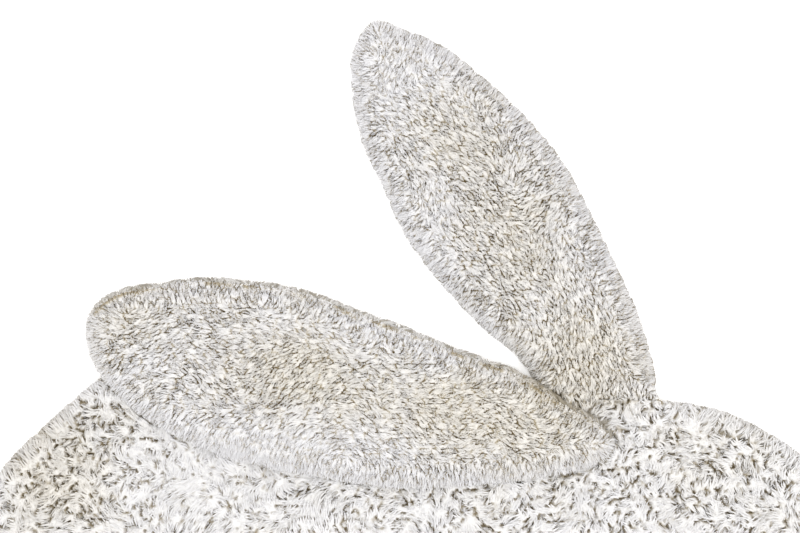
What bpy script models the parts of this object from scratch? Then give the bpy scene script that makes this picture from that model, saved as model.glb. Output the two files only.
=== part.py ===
"""A rabbit shaped rug for a child's room, lying flat on the floor.

The rabbit crouches in profile and faces +X. Three pieces of shag are sewn together:
the body with the head, an ear that stands up from the head in the plane of the rug,
and an ear that lies back over the body. Each piece is one lumpy slab of pile on its
backing, with tapered locks of pile round its free rim.

Units are metres. +Z is up, the floor is z = 0, and the origin is the middle of the
rug's bounding box on the floor.
"""

import math

import bmesh
import bpy
import numpy as np
from mathutils import Vector, noise
from mathutils.geometry import delaunay_2d_cdt

# Thickness of the backing with its pile
BODY_THICK = 0.022
PRESSED_THICK = 0.0165  # pile flattened by the ear that lies on it
STANDING_EAR_THICK = 0.018
LYING_EAR_THICK = 0.017

# How the pieces meet
SEAM_GAP = 0.0003
PRESSED_MARGIN = 0.016  # flattened pile reaches this far past the lying ear
PRESSED_RAMP = 0.012
TIP_DROOP = 0.010  # how far the lying ear sinks where nothing holds it up any more
DROOP_START = 0.004
DROOP_LENGTH = 0.080

# The rounded rim over its widest line: (how far in from the outline, share of the thickness)
RIM_PROFILE = ((0.0, 0.42), (0.005, 0.80), (0.014, 0.96), (0.030, 1.0))
RIM_UNDERCUT = 0.003  # how far in the underside starts

# Lumps of the pile
LUMP_PERIOD = 0.043
LUMP_HEIGHT = 0.0022
FINE_LUMP_SHARE = 0.35

# Locks of pile round the rim
LOCK_LENGTH = 0.012
LOCK_WAIST = 0.62  # width halfway along, as a share of the root's
LOCK_SWING = math.radians(12)
LOCK_SHARE = 0.62  # share of the rim's steps that grow a lock
LOCK_CLEARANCE = 0.020  # no lock starts this near to another piece
LOCK_SEED = 5

BODY_COLOUR = (0.80, 0.79, 0.775)
EAR_COLOUR = (0.76, 0.745, 0.715)
PILE_ROUGHNESS = 0.95

# Outlines, clockwise as seen from above: (place, x, y)
BODY_OUTLINE = (
    ("seam_front", 0.281, 0.074),
    ("crown", 0.318, 0.069),
    ("brow", 0.362, 0.056),
    ("forehead", 0.419, 0.022),
    ("eye_line", 0.470, -0.027),
    ("bridge", 0.508, -0.082),
    ("nose_top", 0.534, -0.137),
    ("nose_tip", 0.539, -0.185),
    ("mouth", 0.518, -0.232),
    ("chin", 0.480, -0.272),
    ("throat", 0.458, -0.312),
    ("chest", 0.462, -0.352),
    ("paw_top", 0.478, -0.388),
    ("paw_tip", 0.472, -0.428),
    ("paw_sole", 0.425, -0.450),
    ("belly_front", 0.300, -0.452),
    ("belly", 0.080, -0.450),
    ("foot_front", -0.150, -0.452),
    ("foot_sole", -0.320, -0.450),
    ("heel", -0.410, -0.428),
    ("haunch", -0.462, -0.378),
    ("tail_low", -0.507, -0.354),
    ("tail_tip", -0.539, -0.312),
    ("tail_high", -0.527, -0.263),
    ("tail_root", -0.492, -0.237),
    ("rump", -0.482, -0.175),
    ("loin", -0.448, -0.092),
    ("flank", -0.380, 0.005),
    ("back_rear", -0.336, 0.049),
    ("back_rise", -0.287, 0.092),
    ("back_high", -0.230, 0.133),
    ("back_top", -0.165, 0.162),
    ("back_crest", -0.100, 0.171),
    ("back_fall", -0.040, 0.157),
    ("shoulder", 0.020, 0.131),
    ("neck", 0.080, 0.104),
    ("nape", 0.125, 0.085),
    ("seam_back", 0.160, 0.076),
)

# The free edge only: it starts and ends at the seam, where the root is cut straight
STANDING_EAR_OUTLINE = (
    ("root_back", 0.166, 0.0765),
    ("back_low", 0.138, 0.119),
    ("back_swell", 0.108, 0.143),
    ("back_waist", 0.062, 0.191),
    ("back_middle", 0.026, 0.239),
    ("back_rise", 0.004, 0.287),
    ("back_upper", -0.018, 0.335),
    ("back_shoulder", -0.028, 0.387),
    ("tip_back", -0.027, 0.425),
    ("tip", -0.006, 0.455),
    ("tip_front", 0.022, 0.447),
    ("front_shoulder", 0.061, 0.431),
    ("front_upper", 0.100, 0.401),
    ("front_high", 0.141, 0.364),
    ("front_middle", 0.181, 0.317),
    ("front_swell", 0.211, 0.263),
    ("front_fall", 0.235, 0.213),
    ("front_low", 0.257, 0.166),
    ("front_waist", 0.272, 0.119),
    ("root_front", 0.2805, 0.0745),
)

LYING_EAR_OUTLINE = (
    ("tip", -0.294, 0.143),
    ("tip_upper", -0.288, 0.167),
    ("tip_corner", -0.262, 0.185),
    ("upper_rear", -0.220, 0.192),
    ("upper_high", -0.180, 0.197),
    ("upper_crest", -0.140, 0.195),
    ("upper_fall", -0.100, 0.190),
    ("upper_shoulder", -0.060, 0.180),
    ("upper_middle", -0.020, 0.164),
    ("upper_slope", 0.020, 0.150),
    ("upper_waist", 0.060, 0.133),
    ("upper_low", 0.100, 0.118),
    ("upper_front", 0.140, 0.103),
    ("root_upper", 0.186, 0.073),
    ("root_shoulder", 0.217, 0.056),
    ("root", 0.234, 0.034),
    ("root_lower", 0.222, 0.014),
    ("lower_front", 0.180, 0.001),
    ("lower_fall", 0.102, -0.009),
    ("lower_crest", 0.020, -0.013),
    ("lower_middle", -0.042, -0.005),
    ("lower_slope", -0.100, 0.005),
    ("lower_rear", -0.162, 0.021),
    ("lower_rise", -0.226, 0.052),
    ("tip_lower", -0.268, 0.087),
    ("tip_rear", -0.288, 0.116),
)

BODY_GRID = 0.026
BODY_RIM_STEP = 0.0125
EAR_GRID = 0.016
EAR_RIM_STEP = 0.0105


def clear_scene():
    for thing in list(bpy.data.objects):
        bpy.data.objects.remove(thing, do_unlink=True)


def smooth_line(rows, step, closed=True):
    """A smooth line through the places, as points about step apart.

    Between two neighbours the line is a Catmull-Rom cubic, whose slope at each
    place is half the way from the place before to the place after.
    """
    places = np.array([(x, y) for _, x, y in rows])
    count = len(places) if closed else len(places) - 1
    if closed:
        places = np.vstack([places[-1], places, places[:2]])
    else:
        places = np.vstack([2 * places[0] - places[1], places, 2 * places[-1] - places[-2]])
    before, start, end, after = (places[i : i + count, None] for i in range(4))
    t = np.linspace(0, 1, 24, endpoint=False)[None, :, None]
    curve = start + t / 2 * (
        (end - before)
        + t * (2 * before - 5 * start + 4 * end - after)
        + t * t * (3 * start - before - 3 * end + after)
    )
    curve = np.vstack([curve.reshape(-1, 2), end[-1]])
    along = np.insert(np.cumsum(np.linalg.norm(np.diff(curve, axis=0), axis=1)), 0, 0)
    pieces = round(along[-1] / step)
    at = np.linspace(0, along[-1], pieces + 1)[: pieces if closed else None]
    return np.stack([np.interp(at, along, curve[:, axis]) for axis in (0, 1)], axis=1)


def straight_line(start, end, step):
    """Points from start to end about step apart, without the two ends."""
    pieces = max(1, round(np.linalg.norm(end - start) / step))
    t = np.linspace(0, 1, pieces + 1)[1:-1, None]
    return start + t * (end - start)


def body_outline():
    """The body's closed line, with a straight stretch where the standing ear is sewn on."""
    free = smooth_line(BODY_OUTLINE, BODY_RIM_STEP, closed=False)
    return np.vstack([free, straight_line(free[-1], free[0], BODY_RIM_STEP)])


def standing_ear_outline(body_rows):
    """The standing ear's closed line, whose root runs along the body's seam, a gap away."""
    seam_front = np.array(body_rows[0][1:])
    seam_back = np.array(body_rows[-1][1:])
    seam = seam_front - seam_back
    away = np.array([-seam[1], seam[0]]) / np.linalg.norm(seam) * SEAM_GAP
    free = smooth_line(STANDING_EAR_OUTLINE, EAR_RIM_STEP, closed=False)
    for end in (0, -1):
        share = (free[end] - seam_back) @ seam / (seam @ seam)
        free[end] = seam_back + share * seam + away
    return np.vstack([free, straight_line(free[-1], free[0], EAR_RIM_STEP)])


def outward(outline):
    """The unit normal at each point of a clockwise closed line, pointing out."""
    along = np.roll(outline, -1, axis=0) - np.roll(outline, 1, axis=0)
    normal = np.stack([-along[:, 1], along[:, 0]], axis=1)
    return normal / np.linalg.norm(normal, axis=1, keepdims=True)


def distance_outside(points, outline):
    """How far each point is from a closed line, negative inside it."""
    start, end = outline, np.roll(outline, -1, axis=0)
    way = end - start
    rel = points[:, None] - start[None]
    share = np.clip((rel * way).sum(2) / (way * way).sum(1), 0, 1)
    far = np.linalg.norm(rel - share[..., None] * way, axis=2).min(axis=1)
    straddles = (start[:, 1] > points[:, 1, None]) != (end[:, 1] > points[:, 1, None])
    rise = np.where(way[:, 1] == 0, 1, way[:, 1])
    crossing = start[:, 0] + (points[:, 1, None] - start[:, 1]) / rise * way[:, 0]
    inside = (straddles & (points[:, 0, None] < crossing)).sum(axis=1) % 2 == 1
    return np.where(inside, -far, far)


def smooth_step(share):
    share = np.clip(share, 0, 1)
    return share * share * (3 - 2 * share)


def lumps(points):
    """Uneven pile: a slow and a faster smooth noise over the floor, about -1 to 1."""
    slow = [noise.noise(Vector((x, y, 0.0)) / LUMP_PERIOD) for x, y in points]
    fast = [noise.noise(Vector((x, y, 1.0)) * 2.3 / LUMP_PERIOD) for x, y in points]
    return np.array(slow) * 1.6 + np.array(fast) * FINE_LUMP_SHARE


def pressed(points, ear):
    """1 under the lying ear and close round it, falling to 0 where the pile stands free."""
    return 1 - smooth_step((distance_outside(points, ear) - PRESSED_MARGIN) / PRESSED_RAMP)


def lies_on_floor(points):
    return np.zeros(len(points))


def pile_on_floor(thick, ear):
    """The pile's height over the floor, pressed flat under the lying ear."""

    def height(points):
        press = pressed(points, ear)
        free = thick + LUMP_HEIGHT * lumps(points)
        return free + press * (np.minimum(PRESSED_THICK, thick) - free)

    return height


def underside_of_lying_ear(supports):
    """Flat on the pressed pile, then sinking past the edge of what holds it up."""

    def height(points):
        past = np.min([distance_outside(points, line) for line in supports], axis=0)
        sunk = TIP_DROOP * smooth_step((past - DROOP_START) / DROOP_LENGTH)
        return PRESSED_THICK + SEAM_GAP - sunk

    return height


def lying_ear_thickness(points):
    return LYING_EAR_THICK + LUMP_HEIGHT * lumps(points)


def beside(outline, offset):
    """Places that run along a closed line, offset outside it, or inside it if negative."""
    places = outline + outward(outline) * offset
    way = distance_outside(places, outline) / offset
    return places[way > 0.93]


def inner_places(outline, grid, insets, ear=None):
    """A line of places at each inset from the outline, and a triangular grid inside them.

    With the lying ear, two more lines follow the edges of the pile that it presses.
    """
    low, high = outline.min(axis=0), outline.max(axis=0)
    rows = np.arange(low[1], high[1], grid * math.sqrt(0.75))
    columns = np.arange(low[0], high[0], grid)
    x, y = np.meshgrid(columns, rows)
    x[1::2] += grid / 2
    inner = np.stack([x.ravel(), y.ravel()], axis=1)
    inner = inner[distance_outside(inner, outline) < -max(insets) - 0.6 * grid]
    if ear is not None:
        edges = [beside(ear, offset) for offset in (PRESSED_MARGIN, PRESSED_MARGIN + PRESSED_RAMP)]
        edges = np.vstack(edges)
        edges = edges[distance_outside(edges, outline) < -1.4 * max(insets)]
        past = distance_outside(inner, ear)
        near = (past > -0.4 * grid) & (past < PRESSED_MARGIN + PRESSED_RAMP + 0.5 * grid)
        inner = np.vstack([inner[~near], edges])
    return np.vstack([inner] + [beside(outline, -inset) for inset in insets])


def fill(bm, ring_verts, inner, heights):
    """Fills a ring of vertices with triangles whose inner corners lie at the heights."""
    ring = np.array([vert.co.xy for vert in ring_verts])
    points = [Vector(p) for p in np.vstack([ring, inner])]
    edges = [(i, (i + 1) % len(ring)) for i in range(len(ring))]
    _, _, faces, origins, _, _ = delaunay_2d_cdt(points, edges, [], 1, 1e-7)
    inner_verts = [bm.verts.new((x, y, z)) for (x, y), z in zip(inner, heights)]
    verts = list(ring_verts) + inner_verts
    for face in faces:
        bm.faces.new([verts[origins[corner][0]] for corner in face])


def ring_at(bm, places, heights):
    return [bm.verts.new((x, y, z)) for (x, y), z in zip(places, heights)]


def grow_locks(bm, root_faces, rng):
    """Draws each root face out into a tapered lock of four sides that ends in a point.

    The lower edge keeps the height of its root, so a lock on the floor lies level on it.
    """
    for face in root_faces:
        normal = face.normal.copy()
        normal.z = 0
        normal.normalize()
        swing = rng.uniform(-LOCK_SWING, LOCK_SWING)
        side = Vector((-normal.y, normal.x, 0))
        way = normal * math.cos(swing) + side * math.sin(swing)
        length = LOCK_LENGTH * rng.uniform(0.7, 1.25)
        low = min(vert.co.z for vert in face.verts)
        drawn = bmesh.ops.extrude_discrete_faces(bm, faces=[face])["faces"][0]
        middle = drawn.calc_center_median()
        for vert in drawn.verts:
            flat = middle + (vert.co - middle) * LOCK_WAIST
            flat.z = low + (vert.co.z - low) * LOCK_WAIST
            vert.co = flat + way * length * 0.5
        point = bmesh.ops.extrude_discrete_faces(bm, faces=[drawn])["faces"][0]
        tip = point.calc_center_median() + way * length * 0.5
        tip.z = low + (tip.z - low) * 0.35
        bmesh.ops.pointmerge(bm, verts=list(point.verts), merge_co=tip)


def pile_material(name, colour):
    material = bpy.data.materials.new(name)
    material.use_nodes = True
    shader = material.node_tree.nodes["Principled BSDF"]
    shader.inputs["Base Color"].default_value = (*colour, 1)
    shader.inputs["Roughness"].default_value = PILE_ROUGHNESS
    shader.inputs["Metallic"].default_value = 0
    return material


def build_piece(name, outline, grid, under, thick, others, colour, ear=None):
    """One closed slab of pile: underside, rounded rim, lumpy top and the rim's locks.

    others are the outlines of the pieces that it meets, where it has no locks, and ear
    is the outline of the lying ear where that presses this piece.
    """
    bm = bmesh.new()
    count = len(outline)
    insets, shares = zip(*RIM_PROFILE)
    foot_line = outline - outward(outline) * RIM_UNDERCUT
    foot = ring_at(bm, foot_line, under(foot_line))
    widest = ring_at(bm, outline, under(outline) + shares[0] * thick(outline))
    band = []
    for i in range(count):
        j = (i + 1) % count
        band.append(bm.faces.new((foot[i], foot[j], widest[j], widest[i])))

    top = inner_places(outline, grid, insets[1:3], ear)
    share = np.interp(-distance_outside(top, outline), insets, shares)
    fill(bm, widest, top, under(top) + share * thick(top))
    if under is lies_on_floor:
        bm.faces.new(foot)
    else:
        underside = inner_places(outline, grid, insets[2:3])
        fill(bm, foot, underside, under(underside))
    bmesh.ops.recalc_face_normals(bm, faces=bm.faces)

    middles = (outline + np.roll(outline, -1, axis=0)) / 2
    away = np.min([distance_outside(middles, other) for other in others], axis=0)
    rng = np.random.default_rng(LOCK_SEED)
    grown = (rng.random(count) < LOCK_SHARE) & (away > LOCK_CLEARANCE)
    grow_locks(bm, [face for face, grows in zip(band, grown) if grows], rng)
    bmesh.ops.recalc_face_normals(bm, faces=bm.faces)

    mesh = bpy.data.meshes.new(name)
    bm.to_mesh(mesh)
    bm.free()
    mesh.shade_smooth()
    mesh.set_sharp_from_angle(angle=math.radians(50))
    mesh.materials.append(pile_material(name + "_pile", colour))
    bpy.context.scene.collection.objects.link(bpy.data.objects.new(name, mesh))


def main():
    clear_scene()
    body = body_outline()
    standing = standing_ear_outline(BODY_OUTLINE)
    lying = smooth_line(LYING_EAR_OUTLINE, EAR_RIM_STEP)
    build_piece(
        "body",
        body,
        BODY_GRID,
        lies_on_floor,
        pile_on_floor(BODY_THICK, lying),
        [standing, lying],
        BODY_COLOUR,
        lying,
    )
    build_piece(
        "ear_standing",
        standing,
        EAR_GRID,
        lies_on_floor,
        pile_on_floor(STANDING_EAR_THICK, lying),
        [body, lying],
        EAR_COLOUR,
        lying,
    )
    build_piece(
        "ear_lying",
        lying,
        EAR_GRID,
        underside_of_lying_ear([body, standing]),
        lying_ear_thickness,
        [standing],
        EAR_COLOUR,
    )


main()
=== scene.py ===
"""Dresses the rabbit shaped rug: a ground of felted pile on its backing, and the pile itself.

Each of the three sewn pieces gets a closed slab, the ground, and tens of thousands of
tapered strands that stand in it. The strands gather in tufts with cracks between them,
lean outwards at the rim, and have painted shade where the pile is parted. They carry their
colour in a UV map: warmth and brightness across, root to tip along, with painted shade at
the root.

Lengths are metres, +Z is up and the floor is z = 0, as in the CAD. A soft step is written
as (where it starts, how wide it is), and a noise as (its period, its seed).
"""

import math

import bpy
import numpy as np
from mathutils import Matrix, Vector
from mathutils.geometry import delaunay_2d_cdt
from mathutils.kdtree import KDTree


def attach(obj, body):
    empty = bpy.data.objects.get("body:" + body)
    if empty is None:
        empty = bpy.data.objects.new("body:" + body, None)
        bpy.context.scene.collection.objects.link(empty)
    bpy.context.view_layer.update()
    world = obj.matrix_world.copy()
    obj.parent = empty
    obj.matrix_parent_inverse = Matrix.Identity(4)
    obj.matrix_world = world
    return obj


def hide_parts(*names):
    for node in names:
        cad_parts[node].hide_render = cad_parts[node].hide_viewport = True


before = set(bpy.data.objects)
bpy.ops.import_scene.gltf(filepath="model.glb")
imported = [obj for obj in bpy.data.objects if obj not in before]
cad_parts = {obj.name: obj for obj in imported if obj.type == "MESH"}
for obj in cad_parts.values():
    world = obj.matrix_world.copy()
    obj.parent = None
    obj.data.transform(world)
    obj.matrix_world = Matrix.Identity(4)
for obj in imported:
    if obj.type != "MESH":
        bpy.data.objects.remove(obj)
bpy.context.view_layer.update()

# Heights that the CAD pieces have too
BODY_THICK = 0.022
PRESSED_THICK = 0.0165  # of the body's pile under the lying ear
STANDING_EAR_THICK = 0.018
LYING_EAR_THICK = 0.017
SEAM_GAP = 0.0003
TIP_DROOP = 0.010  # of the lying ear, past the edge of what holds it up
DROOP_STEP = (0.004, 0.080)

OUTLINE_STEP = 0.004
CURVE_POINTS = 24  # worked out between two places of an outline
MARK_STEP = 0.001  # between the marks from which depth is measured
TRIANGLE_HEIGHT = math.sqrt(0.75)  # of a triangle with sides of 1
NOISE_CELLS = 256  # after which a noise repeats
LEAST_LENGTH = 1e-6  # by which anything is divided
INSIDE_TRIANGLES = 1  # what delaunay_2d_cdt is to give

# The ground: the felted lower part of the pile with its backing
GROUND_SHARE = 0.87  # of a piece's whole thickness
GROUND_INSET = 0.0028  # the strands reach past it to the outline
GROUND_ROUND = 0.016  # width of its rounded rim
RIM_WALL = 0.38  # height of its rim, as a share of its height
EAR_GROUND_STEP = 0.0013
BODY_GROUND_STEP = 0.0026
UNDERSIDE_STEP = 0.020
RIM_CLEARANCE = 0.4  # between a lattice and the rim, as a share of the lattice's step
WELD = 1e-7  # distance under which points are one
FOOT_PAINTED_SHADE = 0.2  # openness and warmth at the foot of the ground's wall: painted shade, darker towards the floor
MAP_MARGIN = 0.01  # round a ground in its map
WALL_ON_MAP = 0.003  # width of the wall in the map

# Where the pieces meet
SEAM_INSET_STEP = (0.001, 0.012)  # the ground's inset, away from the piece sewn to it
SEAM_DEPTH_STEP = (0.002, 0.018)
SEAM_DEPTH = 0.04  # added to the depth at a seam, where the pile goes on
SEAM_BARE = 0.012  # beside the neighbour, where no rim strands stand
PRESSED_STEP = (-0.001, 0.006)  # the body's pressed pile, inside the lying ear's rim
STANDING_PILE_UNDER = 0.003  # how far pile goes on under the lying ear's rim
BODY_PILE_UNDER = 0.004
BODY_PILE_PARTS = 3  # pieces of the body's pile, from left to right

# Tufts and the cracks between them
TUFT_SHAKE = (0.21, 0.79)  # where a tuft may stand in its square of the lattice
LATTICE_MARGIN = 4  # squares of the lattice round a piece
SEARCH = 3  # squares round a place that can hold its nearest tufts
CLOSED_FADE = 0.25  # share of the borders between closed ones and open ones
CRACK_OPEN = 0.58  # a crack's opening before its noises
CRACK_BREAK = (0.45, 1.10)  # the share that is left of it at least, and what noise adds
CRACK_BREAK_NOISE = (0.0042, 71)
CRACK_SIDE = (0.22, 0.88)  # the share at a tuft's end, and what a tuft's side adds
WIDEST_CRACK = 1.2
CRACK_SHADE = (1.5, 0.1)  # painted shade: the ground darkens by 1.5 of a crack's opening, less 0.1
CRACK_FLOOR = 0.0003  # half width of a crack's darkest painted shade
CRACK_FLOOR_FADE = 0.7  # its fade, as a share of the crack's slope

# Strands. A spread is (lowest, highest).
EAR_ROOT_SPACING = 0.00152
BODY_ROOT_SPACING = 0.00270
ROOT_SHAKE = 0.45  # share of the spacing
ROOT_SUNK = 0.0010  # how deep a strand's root stands in the ground
SIDE_TURN = 0.10  # how far a strand is turned round its own axis, in radians
NEARLY_UP = (0.001, 0.002, 1.0)  # a way that no strand has
CRACK_CLEARANCE = 0.3  # between a root and an open crack, as a share of the width
CRACK_HOLD = 1.6  # how fast a crack that opens holds tips back
OVER_RIM = (-0.0005, 0.0025)  # spread of how far a tip may lie past the outline
TIP_CLEARANCE = 0.0006  # least height of a tip over the ground
WIDTH_SPREAD = (0.75, 1.2)
HEIGHT_SPREAD = (0.96, 1.01)
TUFT_LOWEST, TUFT_MORE = 0.98, 0.04  # share of the height, and what a tuft's dice add
DOME_WIDTH = 0.005  # of a tuft's rounded edge
DOME_CLOSED, DOME_OPEN = 0.3, 0.7  # its drop at a closed border, and what a crack adds
WARM_GRAIN = 0.05  # how far the warmth varies from strand to strand
TUFT_WARMTH, TUFT_BRIGHTNESS = 0.12, 0.03  # how far they vary from tuft to tuft
PARTED_PAINTED_SHADE = 1.2  # painted shade on strands where the pile is parted
DARK_SHARE = 0.03  # of the strands are darker
DARK_SPREAD = (0.1, 0.5)

# Rim strands
RIM_SPACING = 0.00022  # along the rim, at all heights together
RIM_SHAKE = 0.0005
RIM_SWEEP_PERIOD = 0.007
RIM_STRAY = 0.0008
RIM_SUNK = 0.0005  # how deep a root stands in the wall
RIM_ROOT_HEIGHT = 0.0016  # of the lowest strand
RIM_TIP_HEIGHT = 0.0010
RIM_TIP_FALL = 0.7  # height of a tip over its lowest, as a share of its root's
RIM_WIDTH_SPREAD = (0.8, 1.1)
RIM_WIDEST = 0.0028
RIM_PAINTED_SHADE, RIM_FOOT_PAINTED_SHADE = 0.20, 0.20  # painted shade: on all of them, and more towards the floor
# Painted shade: dark specks in the gaps between the rim's locks
SHADE_SPECK_PERIOD = 0.0024
SHADE_SPECK_STEP = (0.60, 0.12)  # over the noise, from none to a dark speck
SHADE_SPECK_SPREAD = (0.2, 0.8)

# The strands' colour map
WARMTH_STEPS = 8  # columns from cool to warm
WARMEST = 0.999  # still in the last column
SHADE_MARGIN = 0.06  # left free at each side of a column, as a share of its width
SHADE_WIDTH = 0.02  # of one strand in its column
ROOT_ON_MAP, TIP_ON_MAP = 0.02, 0.99
BASE_ON_MAP = (0.01, 0.03, 0.01)  # the three corners of a strand's base

# The groove behind an ear's rolled rim, lower and with painted shadow
GROOVE_DEPTH = 0.0056  # inside the outline
GROOVE_HALF_WIDTH = 0.0020
GROOVE_FACING = (0.2, 0.5)  # the soft step from a rim without it to one with it
GROOVE_NOISE = (0.013, 16)
GROOVE_BREAK = (0.25, 0.35)
ROLL_HOLD = 0.9  # how far the rolled rim holds back the combing
ROLL_STEP = (0.012, 0.004)  # over the depth, back to full combing
# In the groove the pile is lower; its warmer, darker colour is painted shadow
GROOVE_LOW, GROOVE_SHADOW_WARMTH, GROOVE_PAINTED_SHADOW = 0.20, 0.35, 0.65
# Painted shadow on the ground in the groove
GROOVE_GROUND_PAINTED_SHADOW = 0.7

# What both coats share
EDGE_LOW = 0.45  # how much lower the pile is at the edge
RIM_CALM = 0.8  # how far the rim's combing evens out the wild lean
RIM_COOL = 0.15  # how much less warm the rim is

# Outlines, clockwise as seen from above: (place, x, y)
BODY_OUTLINE = (
    ("seam_front", 0.281, 0.074),
    ("crown", 0.318, 0.069),
    ("brow", 0.362, 0.056),
    ("forehead", 0.419, 0.022),
    ("eye_line", 0.470, -0.027),
    ("bridge", 0.508, -0.082),
    ("nose_top", 0.534, -0.137),
    ("nose_tip", 0.539, -0.185),
    ("mouth", 0.518, -0.232),
    ("chin", 0.480, -0.272),
    ("throat", 0.458, -0.312),
    ("chest", 0.462, -0.352),
    ("paw_top", 0.478, -0.388),
    ("paw_tip", 0.472, -0.428),
    ("paw_sole", 0.425, -0.450),
    ("belly_front", 0.300, -0.452),
    ("belly", 0.080, -0.450),
    ("foot_front", -0.150, -0.452),
    ("foot_sole", -0.320, -0.450),
    ("heel", -0.410, -0.428),
    ("haunch", -0.462, -0.378),
    ("tail_low", -0.507, -0.354),
    ("tail_tip", -0.539, -0.312),
    ("tail_high", -0.527, -0.263),
    ("tail_root", -0.492, -0.237),
    ("rump", -0.482, -0.175),
    ("loin", -0.448, -0.092),
    ("flank", -0.380, 0.005),
    ("back_rear", -0.336, 0.049),
    ("back_rise", -0.287, 0.092),
    ("back_high", -0.230, 0.133),
    ("back_top", -0.165, 0.162),
    ("back_crest", -0.100, 0.171),
    ("back_fall", -0.040, 0.157),
    ("shoulder", 0.020, 0.131),
    ("neck", 0.080, 0.104),
    ("nape", 0.125, 0.085),
    ("seam_back", 0.160, 0.076),
)
STANDING_EAR_OUTLINE = (
    ("root_back", 0.166, 0.0765),
    ("back_low", 0.138, 0.119),
    ("back_swell", 0.108, 0.143),
    ("back_waist", 0.062, 0.191),
    ("back_middle", 0.026, 0.239),
    ("back_rise", 0.004, 0.287),
    ("back_upper", -0.018, 0.335),
    ("back_shoulder", -0.028, 0.387),
    ("tip_back", -0.027, 0.425),
    ("tip", -0.006, 0.455),
    ("tip_front", 0.022, 0.447),
    ("front_shoulder", 0.061, 0.431),
    ("front_upper", 0.100, 0.401),
    ("front_high", 0.141, 0.364),
    ("front_middle", 0.181, 0.317),
    ("front_swell", 0.211, 0.263),
    ("front_fall", 0.235, 0.213),
    ("front_low", 0.257, 0.166),
    ("front_waist", 0.272, 0.119),
    ("root_front", 0.2805, 0.0745),
)
LYING_EAR_OUTLINE = (
    ("tip", -0.294, 0.143),
    ("tip_upper", -0.288, 0.167),
    ("tip_corner", -0.262, 0.185),
    ("upper_rear", -0.220, 0.192),
    ("upper_high", -0.180, 0.197),
    ("upper_crest", -0.140, 0.195),
    ("upper_fall", -0.100, 0.190),
    ("upper_shoulder", -0.060, 0.180),
    ("upper_middle", -0.020, 0.164),
    ("upper_slope", 0.020, 0.150),
    ("upper_waist", 0.060, 0.133),
    ("upper_low", 0.100, 0.118),
    ("upper_front", 0.140, 0.103),
    ("root_upper", 0.186, 0.073),
    ("root_shoulder", 0.217, 0.056),
    ("root", 0.234, 0.034),
    ("root_lower", 0.222, 0.014),
    ("lower_front", 0.180, 0.001),
    ("lower_fall", 0.102, -0.009),
    ("lower_crest", 0.020, -0.013),
    ("lower_middle", -0.042, -0.005),
    ("lower_slope", -0.100, 0.005),
    ("lower_rear", -0.162, 0.021),
    ("lower_rise", -0.226, 0.052),
    ("tip_lower", -0.268, 0.087),
    ("tip_rear", -0.288, 0.116),
)

# Patches of warmer pile: (place, x, y, half length, half width, amount)
WARM_PATCHES = (
    ("lying_ear_fold", -0.085, 0.110, 0.060, 0.040, 0.85),
    ("lying_ear_middle", 0.040, 0.075, 0.110, 0.035, 0.45),
    ("lying_ear_root", 0.125, 0.050, 0.080, 0.040, 0.60),
    ("lying_ear_tip", -0.265, 0.160, 0.040, 0.030, 0.45),
    ("standing_ear_upper", 0.075, 0.345, 0.050, 0.045, 0.55),
    ("standing_ear_middle", 0.130, 0.240, 0.060, 0.070, 0.60),
    ("standing_ear_root", 0.205, 0.115, 0.060, 0.050, 0.90),
    ("body_left", -0.330, 0.010, 0.060, 0.060, 0.80),
    ("body_right", 0.330, 0.010, 0.080, 0.050, 0.20),
)

# Patches of nearly white pile, with the same columns
WHITE_PATCHES = (
    ("body_rear", -0.190, -0.020, 0.070, 0.035, 0.9),
    ("body_middle", 0.010, -0.050, 0.110, 0.025, 0.5),
    ("body_front", 0.260, -0.030, 0.080, 0.050, 0.4),
    ("lying_ear_low", -0.110, 0.025, 0.120, 0.030, 0.9),
    ("lying_ear_upper", 0.000, 0.140, 0.100, 0.020, 0.4),
    ("standing_ear_back", 0.045, 0.230, 0.030, 0.080, 0.5),
    ("standing_ear_tip", 0.015, 0.405, 0.060, 0.050, 0.7),
)

# Patches of the ears that are combed another way: (place, x, y, half length, half width, degrees)
COMBED_PATCHES = (
    ("lying_ear_left", -0.095, 0.100, 0.050, 0.035, 42),
    ("lying_ear_low", -0.110, 0.030, 0.080, 0.025, 58),
    ("standing_ear_right", 0.165, 0.290, 0.035, 0.060, 40),
    ("standing_ear_tip", 0.005, 0.415, 0.050, 0.035, 70),
)

# The dark lines where the pile is parted, painted shade in the gaps: round the lying ear's root,
# along the standing ear's seam, and a crease inside the body's upper rim. Each is (place, x, y).
ROOT_LINE = (
    ("crotch", 0.148, 0.108),
    ("below_crotch", 0.163, 0.091),
    ("middle", 0.178, 0.080),
    ("root_upper", 0.195, 0.067),
    ("root_shoulder", 0.216, 0.055),
    ("root_end", 0.237, 0.036),
    ("root_lower", 0.225, 0.014),
    ("lower_front", 0.205, 0.002),
    ("lower_end", 0.182, -0.001),
)
EAR_SEAM_LINE = (
    ("seam_start", 0.200, 0.070),
    ("seam_middle", 0.229, 0.0720),
    ("seam_front", 0.262, 0.0740),
    ("seam_end", 0.281, 0.0750),
)
CREASE_LINE = (
    ("crease_start", 0.334, 0.042),
    ("crease_middle", 0.358, 0.036),
    ("crease_end", 0.384, 0.028),
)
PARTED_LINES = ((ROOT_LINE, 1.0), (EAR_SEAM_LINE, 0.6), (CREASE_LINE, 0.9))
PARTED_HALF_WIDTH = 0.0013
PARTED_STEP = 0.002  # between the marks along a line
PARTED_REACH = 0.01  # past which a line has no shade
PARTED_NOISE = (0.006, 17)
PARTED_BREAK = (0.2, 0.4)


def length_along(line):
    """How far along a line each of its points is."""
    return np.insert(np.cumsum(np.linalg.norm(np.diff(line, axis=0), axis=1)), 0, 0)


def points_at(line, along, at):
    """The points of a line at the given lengths along it."""
    return np.stack([np.interp(at, along, line[:, axis]) for axis in (0, 1)], axis=1)


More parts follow.
